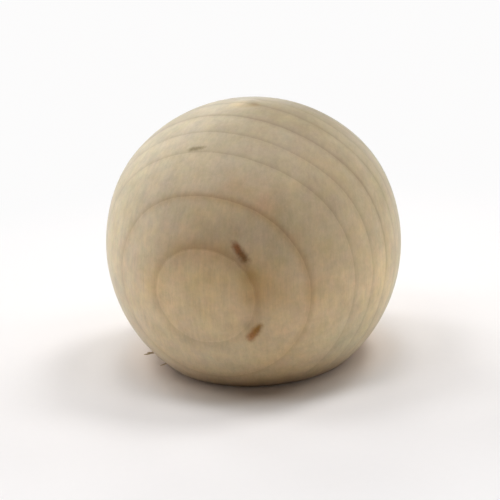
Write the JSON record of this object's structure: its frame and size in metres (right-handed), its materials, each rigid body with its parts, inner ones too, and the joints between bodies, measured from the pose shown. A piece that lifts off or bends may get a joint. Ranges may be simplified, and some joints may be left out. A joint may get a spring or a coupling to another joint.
{
  "type": "wooden ball",
  "caption": "Solid turned hardwood ball with a flat base that it stands on and a small parting nub on its crown.",
  "frame": {"origin": "centre of the flat base", "axes": "+Z along the turning axis and the grain, from the flat base up to the crown; +Y away from the side with the bullseye of growth rings"},
  "size_m": [0.038, 0.038, 0.0341],
  "materials": {
    "wood": "bare sanded birch, growth rings and a few pith flecks"
  },
  "bodies": {
    "root": {"ball": "wood"}
  },
  "joints": []
}
